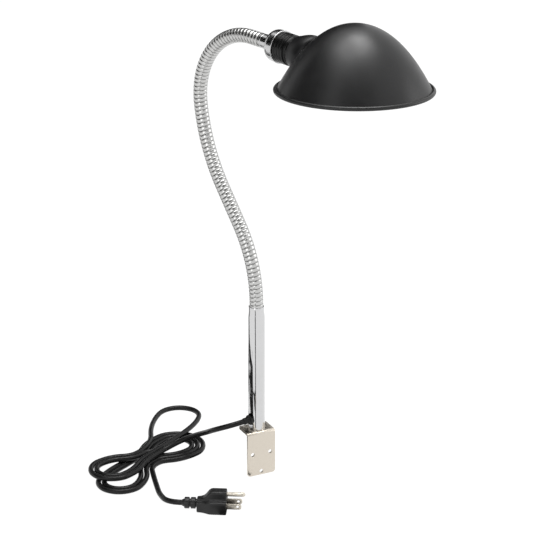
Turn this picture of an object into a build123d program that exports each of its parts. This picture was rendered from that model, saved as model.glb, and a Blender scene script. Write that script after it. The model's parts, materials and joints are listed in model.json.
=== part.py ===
from build123d import *
import math
import os

# Gooseneck task light: a bent steel plate carries a short chrome tube, a ribbed
# flexible neck and a side entry shade. Millimetres, +Z up, +X along the plate,
# +Y from the plate's outer face towards its flange. The origin is on that face,
# midway between the two upper screw holes.

os.makedirs("parts", exist_ok=True)

# Fits
slip = 0.1
snug = 0.05
overrun = 1.0

# Mounting bracket
plate_wide = 35.0
plate_high = 54.0
plate_thick = 2.4
flange_deep = 25.4
flange_top = 27.0
bend_inside = 1.5
plate_corner = 3.5
screw_hole = 4.8
screw_spacing = 22.2
lower_hole_up = 4.4

# Stem tube and its foot
tube_outside = 19.05
tube_wall = 0.8
tube_high = 150.0
mouth_taper = 9.0
mouth_land = 5.0
stem_plug_high = 6.0
stub_outside = 9.6
stub_bore = 5.0
stub_long = 12.5
washer_outside = 16.0
washer_thick = 1.6
washer_teeth = 10
washer_slot = 1.4
nut_flats = 14.3
nut_thick = 5.0

# Neck: a wound steel hose with rounded ribs
rib_pitch = 4.67
rib_crest = 7.9
rib_shoulder = 7.75
rib_groove = 7.15
neck_bore = 4.5
ribs_in_mouth = 3
rib_shares = [0.0, 0.2, 0.5, 0.8]
neck_heading = -72.0
foot_straight = 3.4
lean_radius = 151.8
lean_turn = 35.0
back_straight = 45.9
rise_radius = 199.6
rise_turn = 27.9
crown_radius = 76.5
head_lean = 94.9
tip_straight = 17.8
neck_names = ["neck_root", "neck_bend_1", "neck_link_1", "neck_bend_2", "neck_link_2",
              "neck_bend_3", "neck_link_3", "neck_bend_4", "neck_link_4", "neck_bend_5",
              "neck_tip"]
neck_ribs = [-3, 4, 8, 18, 22, 38, 42, 57, 61, 74, 78, 84]

# Head on the end of the neck
sleeve_long = 14.0
sleeve_outside = 15.9
sleeve_bore = 10.0
nipple_long = 15.0
nipple_bore = 7.0
nipple_nut_flats = 14.3
nipple_nut_thick = 3.0
cap_outside = 34.5
cap_wall = 0.9
cap_dome = 9.0
cap_long = 15.5
skirt_outside = 33.0
skirt_long = 15.5
step_outside = 31.5
step_long = 6.5
socket_outside = 30.6
socket_wall = 1.5
socket_long = 29.0
insulator_long = 12.0
shell_outside = 27.6
shell_wall = 0.5
shell_long = 24.0
shell_rise = 1.2
contact_wide = 7.0
terminal_outside = 6.0
terminal_long = 3.0
terminal_apart = 17.0
collar_outside = 40.0
collar_wall = 0.9
collar_plate = 1.2
collar_long = 36.0
shade_ring_outside = 34.2
shade_ring_thick = 5.0

# Bulb
bulb_outside = 48.0
bulb_long = 89.0
bulb_glass_wall = 0.8
bulb_cap_outside = 26.2
bulb_cap_long = 25.0
bulb_neck_outside = 25.0
bulb_seat = 2.0
bulb_contact_outside = 9.0
filament_mount_outside = 8.0
filament_mount_long = 30.0

# Shade: a spun dome with a rolled rim
shade_base = 78.6
shade_high = 66.8
shade_sheet = 0.9
bead_radius = 2.2
shade_reach = 142.9
shade_rim_up = 448.9
shade_hole = 17.5

# Cord, its bushing in the tube and the lead inside
cord_outside = 6.2
bushing_up = 13.0
bushing_heading = 192.0
bushing_flange = 11.5
bushing_flange_thick = 2.5
bushing_shank = 8.4
bushing_barb = 9.8
bushing_barb_thick = 1.8
bushing_barb_in = 5.2
bushing_nose = 9.0
bushing_nose_tip = 7.6
bushing_nose_long = 7.5
lead_outside = 4.4
lead_turn = 6.4

# Hank: loops of the cord laid in two layers, drawn in at the waist
turn_gap = 0.55
waist_place = (-109.0, 88.0)
waist_heading = 30.0
waist_first = 3.6
fold_radius = 19.0
upper_loops = 2
upper_right_heading = 46.0
upper_right_reach = 130.0
upper_left_heading = 200.0
upper_left_reach = 68.0
lower_loops = 3
lower_right_heading = 22.0
lower_right_reach = 70.0
lower_left_heading = 220.0
lower_left_reach = 78.0
hank_entry = 8.0
gap_apart_share = 4.0
straight_share = 1e-6
run_share = 0.45
feed_straight = 32.5
entry_straight = 20.0
exit_straight = 16.0
plug_straight = 16.0

# Plug
plug_heading = -30.0
plug_place = (-73.0, -62.3)
blade_up = 8.6
plug_long = 30.0
plug_wide = 25.0
plug_back_outside = 13.0
plug_top_radius = 7.6
pin_above_blades = 11.9
pin_outside = 4.8
pin_long = 20.5
blade_apart = 12.7
blade_high = 6.3
blade_thick = 1.5
blade_long = 16.5
blade_hole = 3.1
blade_hole_back = 4.2
plug_relief_long = 20.0
plug_relief_outside = 11.0
plug_relief_tip = 8.6
plug_relief_grooves = 3
groove_wide = 2.0
groove_deep = 1.6

cord_radius = cord_outside / 2
surface = flange_top - plate_high
cord_rest = surface + cord_radius
layer_step = cord_outside + turn_gap
tube_radius = tube_outside / 2
tube_centre = flange_deep / 2
tube_top = flange_top + tube_high

# The cord's free stretches: points chosen by hand, bushing to hank and hank to plug
feed_route = [
    (-50.5, 23.0, 30.0), (-47.5, 48.0, 16.0), (-49.5, 72.0, 3.0), (-60.0, 89.0, -8.5),
]
plug_route = [
    (-121.0, 20.0, -23.9), (-131.0, 5.0, -23.9), (-136.5, -13.5, -23.4),
]


def unit(heading):
    """Level direction at a heading in degrees, counted from +X towards +Y."""
    angle = math.radians(heading)
    return Vector(math.cos(angle), math.sin(angle), 0)


def ring(outside, inside, long, start=0.0):
    """Round tube along +Z from a start height."""
    body = Pos(0, 0, start + long / 2) * Cylinder(outside / 2, long)
    hole = Pos(0, 0, start + long / 2) * Cylinder(inside / 2, long + overrun)
    return body - hole


def hexagon(flats, bore, thick, start=0.0):
    """Hexagon nut along +Z from a start height."""
    plan = RegularPolygon(flats / 2, 6, major_radius=False) - Circle(bore / 2)
    return Pos(0, 0, start) * extrude(plan, amount=thick)


def save(shape, name):
    shape.label = name
    export_step(shape, "parts/" + name + ".step")


# Bracket

def mounting_bracket():
    outline = make_face(Polyline(
        (0, surface), (plate_thick, surface), (plate_thick, flange_top - plate_thick),
        (flange_deep, flange_top - plate_thick), (flange_deep, flange_top), (0, flange_top),
        close=True,
    ))
    outside = outline.vertices().sort_by_distance((0, flange_top))[0]
    outline = fillet(outside, bend_inside + plate_thick)
    inside = outline.vertices().sort_by_distance((plate_thick, flange_top - plate_thick))[0]
    outline = fillet(inside, bend_inside)
    bent = extrude(Plane.YZ * outline, amount=plate_wide / 2, both=True)
    plate_corners = bent.edges().filter_by(Axis.Y).group_by(Axis.Z)[0]
    bent = fillet(plate_corners, plate_corner)
    flange_corners = bent.edges().filter_by(Axis.Z).group_by(Axis.Y)[-1]
    bent = fillet(flange_corners, plate_corner)
    drill = Rot(90, 0, 0) * Cylinder(screw_hole / 2, flange_deep)
    for side in (-1, 1):
        bent -= Pos(side * screw_spacing / 2, 0, 0) * drill
    bent -= Pos(0, 0, surface + lower_hole_up) * drill
    stub_hole = Cylinder(stub_outside / 2 + slip, plate_high)
    return bent - Pos(0, tube_centre, flange_top) * stub_hole


# Stem

def stem_tube():
    neck_seat = rib_crest + snug
    straight = tube_high - mouth_taper - mouth_land
    bore = tube_radius - tube_wall
    wall = make_face(Polyline(
        (bore, 0), (tube_radius, 0), (tube_radius, straight),
        (neck_seat + tube_wall, straight + mouth_taper), (neck_seat + tube_wall, tube_high),
        (neck_seat, tube_high), (neck_seat, straight + mouth_taper), (bore, straight),
        close=True,
    ))
    tube = revolve(Plane.XZ * wall, Axis.Z)
    tube = Pos(0, tube_centre, flange_top) * tube
    side_hole = extrude(bushing_plane() * Circle(bushing_shank / 2 + snug), amount=tube_outside)
    return tube - side_hole


def bushing_plane():
    """Plane on the tube's axis whose normal points out through the bushing."""
    centre = Vector(0, tube_centre, flange_top + bushing_up)
    return Plane(origin=centre, x_dir=(0, 0, 1), z_dir=unit(bushing_heading))


def stem_plug():
    disc = ring(tube_outside - 2 * tube_wall - 2 * snug, stub_bore, stem_plug_high)
    stub = ring(stub_outside, stub_bore, stub_long, -stub_long)
    return Pos(0, tube_centre, flange_top) * (disc + stub)


def lock_washer():
    washer = ring(washer_outside, stub_outside + 2 * slip, washer_thick)
    slot = Pos(stub_outside / 2, 0, washer_thick / 2) * Box(
        washer_outside / 4, washer_slot, 2 * washer_thick)
    for tooth in range(washer_teeth):
        washer -= Rot(0, 0, tooth * 360 / washer_teeth) * slot
    return Pos(0, tube_centre, flange_top - plate_thick - washer_thick) * washer


def lock_nut():
    nut = hexagon(nut_flats, stub_outside + 2 * snug, nut_thick)
    return Pos(0, tube_centre, flange_top - plate_thick - washer_thick - nut_thick) * nut


def cord_bushing():
    flange_out = tube_radius + bushing_flange_thick
    seat = tube_radius * 3 / 4
    flange = ring(bushing_flange, 0, flange_out - seat, seat)
    shank = ring(bushing_shank, 0, flange_out - bushing_barb_in, bushing_barb_in)
    barb = ring(bushing_barb, 0, bushing_barb_thick, bushing_barb_in)
    nose = Pos(0, 0, flange_out + bushing_nose_long / 2) * Cone(
        bushing_nose / 2, bushing_nose_tip / 2, bushing_nose_long)
    saddle = Pos(0, tube_centre, flange_top + bushing_up) * Cylinder(
        tube_radius + snug, tube_outside)
    turned = bushing_plane() * flange - saddle
    turned += bushing_plane() * (shank + barb + nose)
    bore = Cylinder(cord_radius + snug, 6 * tube_outside)
    return turned - bushing_plane() * bore


# Neck

def neck_bends():
    """Length and turn in degrees of each stretch, from the tube's mouth up."""
    crown_turn = head_lean + lean_turn - rise_turn
    return [
        (foot_straight, 0.0),
        (lean_radius * math.radians(lean_turn), -lean_turn),
        (back_straight, 0.0),
        (rise_radius * math.radians(rise_turn), rise_turn),
        (crown_radius * math.radians(crown_turn), crown_turn),
        (tip_straight, 0.0),
    ]


def neck_plane(along):
    """Plane across the neck at a length from the mouth: X is the bend axis, Z the way up."""
    reach = min(along, 0.0) * 0.0
    rise = min(along, 0.0)
    lean = 0.0
    left = max(along, 0.0)
    bends = neck_bends()
    for index, (long, turn) in enumerate(bends):
        last = index == len(bends) - 1
        part = left if last else min(left, long)
        bent = math.radians(turn) * part / long
        if abs(bent) > 0:
            radius = long / math.radians(turn)
            reach += radius * (math.cos(lean) - math.cos(lean + bent))
            rise += radius * (math.sin(lean + bent) - math.sin(lean))
            lean += bent
        else:
            reach += part * math.sin(lean)
            rise += part * math.cos(lean)
        left -= part
        if left <= 0:
            break
    forward = unit(neck_heading)
    origin = Vector(0, tube_centre, tube_top + rise) + forward * reach
    way = forward * math.sin(lean) + Vector(0, 0, math.cos(lean))
    return Plane(origin=origin, x_dir=unit(neck_heading + 90), z_dir=way)


def neck_stretch(first, last):
    """Ribbed hose between two rib numbers: four circles a rib, joined by straight facets."""
    radii = [rib_groove, rib_shoulder, rib_crest, rib_shoulder]
    outer = []
    inner = []
    for rib in range(first, last):
        for share, radius in zip(rib_shares, radii):
            outer.append(neck_plane((rib + share) * rib_pitch) * Circle(radius))
        inner.append(neck_plane(rib * rib_pitch) * Circle(neck_bore))
    outer.append(neck_plane(last * rib_pitch) * Circle(rib_groove))
    inner.append(neck_plane(last * rib_pitch) * Circle(neck_bore))
    return loft(outer, ruled=True) - loft(inner, ruled=True)


# Lead inside the tube and the neck

def neck_length():
    return neck_ribs[-1] * rib_pitch


def lead_stretch(first, last):
    """Lead along the neck between two lengths, one straight facet per rib."""
    count = max(1, round((last - first) / rib_pitch))
    step = (last - first) / count
    rings = [neck_plane(first + step * index) * Circle(lead_outside / 2)
             for index in range(count + 1)]
    return loft(rings, ruled=True)


def lead_in_stem():
    """Lead from the cord's end in the bushing, round a bend and up to the neck."""
    out = unit(bushing_heading)
    level = Vector(0, tube_centre, flange_top + bushing_up)
    start = level + out * bushing_barb_in
    corner = level
    top = Vector(0, tube_centre, tube_top + neck_ribs[0] * rib_pitch)
    bend = min(lead_turn, bushing_barb_in - slip)
    path = FilletPolyline(start, corner, top, radius=bend)
    return sweep(Plane(origin=start, z_dir=-out) * Circle(lead_outside / 2), path=path)


# Head, built along +Z and turned into place on the neck's end

def head_plane():
    return neck_plane(neck_length())


cap_start = sleeve_long
cap_end = cap_start + cap_long
skirt_end = cap_end + skirt_long
step_end = skirt_end + step_long
socket_end = step_end + socket_long
insulator_start = skirt_end - insulator_long / 2
insulator_end = insulator_start + insulator_long
shell_start = insulator_end
bulb_foot = insulator_end + shell_rise + bulb_seat


def neck_end_sleeve():
    return ring(sleeve_outside, sleeve_bore, sleeve_long)


def neck_nipple():
    long = nipple_long
    return ring(sleeve_bore - 2 * snug, nipple_bore, long, cap_start + cap_wall
                + nipple_nut_thick + overrun - long)


def nipple_nut():
    return hexagon(nipple_nut_flats, sleeve_bore, nipple_nut_thick, cap_start + cap_wall)


def socket_cap():
    """Spun chrome cap: a domed crown and a straight side, open towards the socket."""
    outer = cap_outside / 2
    inner = outer - cap_wall
    hole = sleeve_bore / 2
    flat = sleeve_outside / 2 + overrun
    arc_share = math.sqrt(0.5)
    side = make_face(
        Line((hole, 0), (flat, 0))
        + ThreePointArc((flat, 0), (flat + (outer - flat) * arc_share, cap_dome * (1 - arc_share)),
                        (outer, cap_dome))
        + Line((outer, cap_dome), (outer, cap_long))
        + Line((outer, cap_long), (inner, cap_long))
        + Line((inner, cap_long), (inner, cap_dome))
        + ThreePointArc((inner, cap_dome),
                        (flat + (inner - flat) * arc_share,
                         cap_dome - (cap_dome - cap_wall) * arc_share),
                        (flat, cap_wall))
        + Line((flat, cap_wall), (hole, cap_wall))
        + Line((hole, cap_wall), (hole, 0))
    )
    return Pos(0, 0, cap_start) * revolve(Plane.XZ * side, Axis.Z)


def socket_body():
    """Moulded socket: a ribbed skirt in the cap's line, a step and the long threaded barrel."""
    body = ring(skirt_outside, 0, skirt_long, cap_end)
    body += ring(step_outside, 0, step_long, skirt_end)
    body += ring(socket_outside, 0, socket_long, step_end)
    inside = socket_outside - 2 * socket_wall
    hollow = Pos(0, 0, (cap_end + socket_end) / 2) * Cylinder(
        inside / 2, socket_end - cap_end + 2 * overrun)
    return body - hollow


def socket_insulator():
    inside = socket_outside - 2 * socket_wall - 2 * snug
    return ring(inside, lead_outside + 2 * slip, insulator_long, insulator_start)


def screw_shell():
    inside = shell_outside - 2 * shell_wall
    wall = ring(shell_outside - 2 * slip, inside - 2 * slip, shell_long, shell_start)
    foot = ring(shell_outside - 2 * slip, terminal_apart, shell_wall, shell_start)
    return wall + foot


def centre_contact():
    return ring(contact_wide, 0, shell_rise + bulb_seat, insulator_end)


def terminal_screws():
    screw = ring(terminal_outside, 0, terminal_long, insulator_start - terminal_long)
    return Compound(children=[Pos(side * terminal_apart / 2, 0, 0) * screw for side in (-1, 1)])


def shade_ring():
    return ring(shade_ring_outside, socket_outside + 2 * snug, shade_ring_thick,
                step_end + collar_plate)


def bulb_cap():
    cap = ring(bulb_cap_outside, bulb_cap_outside - 2 * bulb_glass_wall, bulb_cap_long, bulb_foot)
    foot = ring(bulb_cap_outside, bulb_contact_outside, bulb_glass_wall, bulb_foot)
    return cap + foot


def bulb_contact():
    return ring(bulb_contact_outside, 0, bulb_glass_wall, bulb_foot)


def bulb_glass():
    """Blown bulb: a narrow neck from the cap that swells into a ball."""
    start = bulb_foot + bulb_cap_long
    top = bulb_foot + bulb_long

    def swell(wall):
        neck = bulb_neck_outside / 2 - wall
        ball = bulb_outside / 2 - wall
        crown = top - wall
        centre = top - bulb_outside / 2
        shape = (
            Line((0, start), (neck, start))
            + Spline((neck, start), (ball, centre), tangents=[(0, 1), (0, 1)])
            + RadiusArc((ball, centre), (0, crown), -ball)
            + Line((0, crown), (0, start))
        )
        return revolve(Plane.XZ * make_face(shape), Axis.Z)

    return swell(0.0) - swell(bulb_glass_wall)


def filament_mount():
    return ring(filament_mount_outside, 0, filament_mount_long, bulb_foot + bulb_cap_long)


# Shade

def shade_place():
    """Centre of the shade's rim, under the crown of the dome."""
    return Vector(0, tube_centre, shade_rim_up) + unit(neck_heading) * shade_reach


def dome(base, high):
    """Solid paraboloid cap standing on the rim plane."""
    shape = (
        Line((0, 0), (base, 0))
        + Bezier((base, 0), (base / 2, high), (0, high))
        + Line((0, high), (0, 0))
    )
    return revolve(Plane.XZ * make_face(shape), Axis.Z)


def shade():
    skin = dome(shade_base, shade_high)
    skin -= dome(shade_base - shade_sheet, shade_high - shade_sheet)
    bead = Torus(shade_base + bead_radius / 2, bead_radius)
    skin = Pos(shade_place()) * (skin + bead)
    way_in = head_plane() * Pos(0, 0, step_end + shade_reach / 4) * Cylinder(
        shade_hole, shade_reach / 2)
    return skin - way_in


def shade_collar():
    """Spun collar that joins the socket's step to the dome's side."""
    collar = ring(collar_outside, collar_outside - 2 * collar_wall, collar_long, step_end)
    collar += ring(collar_outside, socket_outside + 2 * snug, collar_plate, step_end)
    return head_plane() * collar - Pos(shade_place()) * dome(shade_base, shade_high)


# Cord

def rounded_route(points):
    """Straight runs joined by arcs as large as the runs beside them allow."""
    radii = []
    for before, here, after in zip(points, points[1:], points[2:]):
        into = here - before
        out = after - here
        shorter = min(into.length, out.length)
        half_turn = math.radians(into.get_angle(out)) / 2
        radii.append(run_share * shorter / math.tan(half_turn))
    print("arc radii", [round(radius, 1) for radius in radii])
    return FilletPolyline(*points, radius=radii)


def cord_tube(points):
    path = rounded_route(points)
    start = Plane(origin=points[0], z_dir=points[1] - points[0])
    tube = sweep(start * Circle(cord_radius), path=path)
    expected = math.pi * cord_radius ** 2 * path.length
    print("stretch", round(path.length, 1), "volume ratio", round(tube.volume / expected, 5))
    return tube


def arc_or_line(start, way, end):
    chord = end - start
    if chord.cross(way).length < straight_share * chord.length:
        return Edge.make_line(start, end)
    return Edge.make_tangent_arc(start, way, end)


def biarc_joint(start, end):
    """Where the two arcs between a pair of stations meet, and their shared direction."""
    place, way = start
    end_place, end_way = end
    chord = end_place - place
    both = way + end_way
    along = chord.dot(both)
    square = 2 * (way.dot(end_way) - 1)
    if abs(square) < straight_share:
        reach = chord.dot(chord) / (2 * along)
    else:
        reach = (along - math.sqrt(along ** 2 - square * chord.dot(chord))) / square
    first = place + way * reach
    second = end_place - end_way * reach
    return ((first + second) / 2, (second - first).normalized())


def outward(station, loops):
    """A station moved out by whole loops, to the left of a clockwise path."""
    place, way = station
    left = Vector(-way.Y, way.X, 0).normalized()
    return (place + left * loops * layer_step, way)


def hank_layer(height, right_heading, right_reach, left_heading, left_reach):
    """The innermost loop of a layer: its two crossings of the waist and its two lobes."""
    centre = Vector(waist_place[0], waist_place[1], height)
    ahead = unit(waist_heading)
    left = unit(waist_heading + 90)
    north = (centre + left * waist_first, ahead)
    south = (centre - left * waist_first, -ahead)

    def lobe(heading, reach, before, after):
        out = unit(heading)
        side = unit(heading + 90)
        fold = centre + out * (reach - fold_radius)
        round_fold = [
            (fold + side * fold_radius, out),
            (fold + out * fold_radius, -side),
            (fold - side * fold_radius, -out),
        ]
        return ([biarc_joint(before, round_fold[0])] + round_fold
                + [biarc_joint(round_fold[2], after)])

    return (north, south, lobe(right_heading, right_reach, north, south),
            lobe(left_heading, left_reach, south, north))


def hank_stations():
    """Places and directions along the hank: in on the upper layer, out on the lower one."""
    upper_north, upper_south, upper_right, upper_left = hank_layer(
        cord_rest + layer_step, upper_right_heading, upper_right_reach,
        upper_left_heading, upper_left_reach)
    lower_north, lower_south, lower_right, lower_left = hank_layer(
        cord_rest, lower_right_heading, lower_right_reach,
        lower_left_heading, lower_left_reach)
    stations = [outward(upper_south, upper_loops - 1)]
    for loop in reversed(range(upper_loops)):
        stations += [outward(station, loop) for station in upper_left]
        stations.append(outward(upper_north, loop))
        if loop > 0:
            stations += [outward(station, loop) for station in upper_right[:-1]]
            stations.append(outward(upper_south, loop - 1))
    for loop in range(lower_loops):
        stations += [outward(station, loop) for station in lower_right]
        stations.append(outward(lower_south, loop))
        if loop < lower_loops - 1:
            stations += [outward(station, loop) for station in lower_left[:-1]]
            stations.append(outward(lower_north, loop + 1))
    stations.append(outward(lower_left[0], lower_loops - 1))
    entry_place, entry_way = stations[0]
    exit_place, exit_way = stations[-1]
    return ([(entry_place - entry_way * hank_entry, entry_way)] + stations
            + [(exit_place + exit_way * cord_outside, exit_way)])


def least_gap(edges):
    """Least free gap between two places on the path that are not near each other along it."""
    places = []
    travelled = 0.0
    for edge in edges:
        steps = math.ceil(edge.length / cord_radius)
        for step in range(steps):
            places.append((travelled + edge.length * step / steps, edge @ (step / steps)))
        travelled += edge.length
    least = travelled
    for index, (along, place) in enumerate(places):
        for other_along, other in places[index + 1:]:
            if other_along - along > gap_apart_share * cord_outside:
                least = min(least, (other - place).length - cord_outside)
    return least


def cord_hank():
    stations = hank_stations()
    edges = []
    for before, after in zip(stations, stations[1:]):
        place, way = before
        end_place, end_way = after
        joint, joint_way = biarc_joint(before, after)
        edges.append(arc_or_line(place, way, joint))
        edges.append(arc_or_line(joint, joint_way, end_place))
    path = Wire(edges)
    place, way = stations[0]
    tube = sweep(Plane(origin=place, z_dir=way) * Circle(cord_radius), path=path)
    expected = math.pi * cord_radius ** 2 * path.length
    radii = [edge.radius for edge in edges if edge.geom_type == GeomType.CIRCLE]
    print("hank length", round(path.length, 1), "volume ratio", round(tube.volume / expected, 5))
    print("hank least radius", round(min(radii), 1), "least gap", round(least_gap(edges), 2))
    return tube


def feed_points():
    """Bushing to hank, leaving the tube level and arriving along the hank's first run."""
    level = bushing_plane().origin
    out = unit(bushing_heading)
    end, way = hank_stations()[0]
    return ([level + out * bushing_barb_in, level + out * feed_straight]
            + [Vector(*point) for point in feed_route] + [end - way * entry_straight, end])


def plug_points():
    """Hank to plug, arriving straight into the plug's strain relief."""
    start, way = hank_stations()[-1]
    return ([start, start + way * exit_straight] + [Vector(*point) for point in plug_route]
            + [plug_start() - plug_way() * plug_straight, plug_start()])


# Plug, built along +Z from its cord end, with +X up to the ground pin

def plug_way():
    return unit(plug_heading)


def plug_face():
    """Centre between the blades on the plug's face."""
    return Vector(plug_place[0], plug_place[1], surface + blade_up)


def plug_start():
    return plug_face() - plug_way() * (plug_long + plug_relief_long)


def plug_plane():
    return Plane(origin=plug_start(), x_dir=(0, 0, 1), z_dir=plug_way())


def plug_strain_relief():
    relief = Pos(0, 0, plug_relief_long / 2) * Cone(
        plug_relief_tip / 2, plug_relief_outside / 2, plug_relief_long)
    spacing = plug_relief_long / (plug_relief_grooves + 1)
    for groove in range(plug_relief_grooves):
        cut = ring(plug_relief_outside + overrun, plug_relief_outside - 2 * groove_deep,
                   groove_wide, (groove + 1) * spacing - groove_wide / 2)
        relief -= cut
    return plug_plane() * relief


def plug_section(wide, low, high, top_radius, along):
    """Plug cross-section: a flat foot with a round top over the ground pin."""
    half = wide / 2
    plan = make_face(Polyline(
        (-low, -half), (-low, half), (high - top_radius, half), (high, half - top_radius),
        (high, top_radius - half), (high - top_radius, -half), close=True,
    ))
    return Plane(origin=(0, 0, along)) * fillet(plan.vertices(), half / 4)


def plug_body():
    pin_side = pin_above_blades + pin_outside
    start = plug_relief_long
    nose = loft([
        plug_section(plug_back_outside, plug_back_outside / 2, plug_back_outside / 2,
                     plug_back_outside / 4, start),
        plug_section(plug_wide, blade_up, pin_side, plug_top_radius, start + plug_long / 2),
    ], ruled=True)
    front = extrude(plug_section(plug_wide, blade_up, pin_side, plug_top_radius,
                                 start + plug_long / 2), amount=plug_long / 2)
    return plug_plane() * (nose + front)


def plug_blades():
    face = plug_relief_long + plug_long
    blade = Pos(0, 0, face + blade_long / 2) * Box(blade_high, blade_thick, blade_long)
    tip = blade.edges().filter_by(Axis.Y).group_by(Axis.Z)[-1]
    blade = chamfer(tip, blade_thick)
    hole = Pos(0, 0, face + blade_long - blade_hole_back) * Rot(90, 0, 0) * Cylinder(
        blade_hole / 2, blade_apart)
    blade -= hole
    pair = [plug_plane() * Pos(0, side * blade_apart / 2, 0) * blade for side in (-1, 1)]
    return Compound(children=pair)


def plug_ground_pin():
    face = plug_relief_long + plug_long
    radius = pin_outside / 2
    long = pin_long - radius
    pin = Pos(pin_above_blades, 0, face + long / 2) * Cylinder(radius, long)
    pin += Pos(pin_above_blades, 0, face + long) * Sphere(radius)
    return plug_plane() * pin


def on_head(shape):
    return head_plane() * shape


save(mounting_bracket(), "mounting_bracket")
save(stem_tube(), "stem_tube")
save(stem_plug(), "stem_plug")
save(lock_washer(), "lock_washer")
save(lock_nut(), "lock_nut")
save(cord_bushing(), "cord_bushing")

for name, first, last in zip(neck_names, neck_ribs, neck_ribs[1:]):
    save(neck_stretch(first, last), name)

save(lead_in_stem(), "lead_in_stem")
for name, first, last in zip(neck_names, neck_ribs, neck_ribs[1:]):
    end = last * rib_pitch
    if last == neck_ribs[-1]:
        end += insulator_end
    save(lead_stretch(first * rib_pitch, end), name.replace("neck", "lead"))

save(on_head(neck_end_sleeve()), "neck_end_sleeve")
save(on_head(neck_nipple()), "neck_nipple")
save(on_head(nipple_nut()), "nipple_nut")
save(on_head(socket_cap()), "socket_cap")
save(on_head(socket_body()), "socket_body")
save(on_head(socket_insulator()), "socket_insulator")
save(on_head(screw_shell()), "screw_shell")
save(on_head(centre_contact()), "centre_contact")
save(on_head(terminal_screws()), "terminal_screws")
save(on_head(bulb_cap()), "bulb_cap")
save(on_head(bulb_contact()), "bulb_contact")
save(on_head(bulb_glass()), "bulb_glass")
save(on_head(filament_mount()), "filament_mount")
save(on_head(shade_ring()), "shade_ring")
save(shade_collar(), "shade_collar")
save(shade(), "shade")

save(cord_tube(feed_points()), "cord_feed")
save(cord_hank(), "cord_hank")
save(cord_tube(plug_points()), "cord_to_plug")
save(plug_strain_relief(), "plug_strain_relief")
save(plug_body(), "plug_body")
save(plug_blades(), "plug_blades")
save(plug_ground_pin(), "plug_ground_pin")
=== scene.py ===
import json
import math

import bmesh
import bpy
from mathutils import Matrix, Vector


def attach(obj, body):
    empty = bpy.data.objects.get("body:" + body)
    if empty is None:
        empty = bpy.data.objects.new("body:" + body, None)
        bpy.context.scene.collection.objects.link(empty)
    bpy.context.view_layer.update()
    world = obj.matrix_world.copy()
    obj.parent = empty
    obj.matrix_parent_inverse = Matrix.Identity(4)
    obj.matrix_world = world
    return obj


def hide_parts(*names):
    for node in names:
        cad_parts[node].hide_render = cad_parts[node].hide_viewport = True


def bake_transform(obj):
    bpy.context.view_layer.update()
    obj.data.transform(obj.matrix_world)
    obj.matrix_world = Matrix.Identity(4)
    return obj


# Gooseneck task light. Blender works in metres; sizes below are in millimetres times mm.
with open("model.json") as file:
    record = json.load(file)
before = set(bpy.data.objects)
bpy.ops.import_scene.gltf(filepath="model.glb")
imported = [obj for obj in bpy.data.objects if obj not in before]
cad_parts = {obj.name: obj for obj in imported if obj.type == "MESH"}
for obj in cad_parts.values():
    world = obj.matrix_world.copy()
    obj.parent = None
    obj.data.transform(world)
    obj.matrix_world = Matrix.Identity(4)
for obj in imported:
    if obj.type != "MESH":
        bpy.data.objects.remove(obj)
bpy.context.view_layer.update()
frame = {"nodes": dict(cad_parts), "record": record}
mm = 0.001
fullTurn = 2 * math.pi
print("frame loaded:", len(frame["nodes"]), "nodes")


# Camera

cameraView = {
    "place": (-738, -1510, 828),
    "heading": 26.3,  # degrees from +Y towards +X
    "pitch": 19.7,  # degrees down
    "lens": 108.67,
    "sensor": 36,
}


def linked(name, data):
    thing = bpy.data.objects.new(name, data)
    bpy.context.scene.collection.objects.link(thing)
    return thing


def addCamera():
    data = bpy.data.cameras.new("camera")
    data.lens = cameraView["lens"]
    data.sensor_width = cameraView["sensor"]
    cam = linked("camera", data)
    cam.location = Vector(cameraView["place"]) * mm
    pitch = math.radians(90 - cameraView["pitch"])
    cam.rotation_euler = (pitch, 0, -math.radians(cameraView["heading"]))
    bpy.context.scene.camera = cam


addCamera()
bpy.context.scene.view_settings.view_transform = "Standard"
print("camera set")


# Materials

def addNode(material, kind, inputs=None, **settings):
    made = material.node_tree.nodes.new(kind)
    for setting, value in settings.items():
        setattr(made, setting, value)
    for socket, value in (inputs or {}).items():
        if isinstance(value, bpy.types.NodeSocket):
            material.node_tree.links.new(value, made.inputs[socket])
        else:
            made.inputs[socket].default_value = value
    return made


def grain(material, scale, detail=3.0, stretch=(1, 1, 1)):  # noise fixed to the piece
    place = addNode(material, "ShaderNodeTexCoord").outputs["Object"]
    mapped = addNode(material, "ShaderNodeMapping", {"Vector": place, "Scale": stretch})
    noise = addNode(material, "ShaderNodeTexNoise", {
        "Vector": mapped.outputs["Vector"], "Scale": scale, "Detail": detail})
    return noise.outputs["Fac"]


def between(material, factor, low, high, start=0.3, end=0.7):  # a factor spread over a range
    spread = addNode(material, "ShaderNodeMapRange", {
        "Value": factor, "From Min": start, "From Max": end, "To Min": low, "To Max": high})
    return spread.outputs["Result"]


def blendColours(material, factor, first, second):
    mix = addNode(material, "ShaderNodeMix", data_type="RGBA")
    material.node_tree.links.new(factor, mix.inputs[0])
    for index, colour in ((6, first), (7, second)):
        if isinstance(colour, bpy.types.NodeSocket):
            material.node_tree.links.new(colour, mix.inputs[index])
        else:
            mix.inputs[index].default_value = (*colour, 1)
    return mix.outputs[2]


def bumped(material, layers):  # layers of (height, strength, distance in millimetres)
    normal = None
    for height, strength, distance in layers:
        values = {"Height": height, "Strength": strength, "Distance": distance * mm}
        if normal is not None:
            values["Normal"] = normal
        normal = addNode(material, "ShaderNodeBump", values).outputs["Normal"]
    return normal


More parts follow.
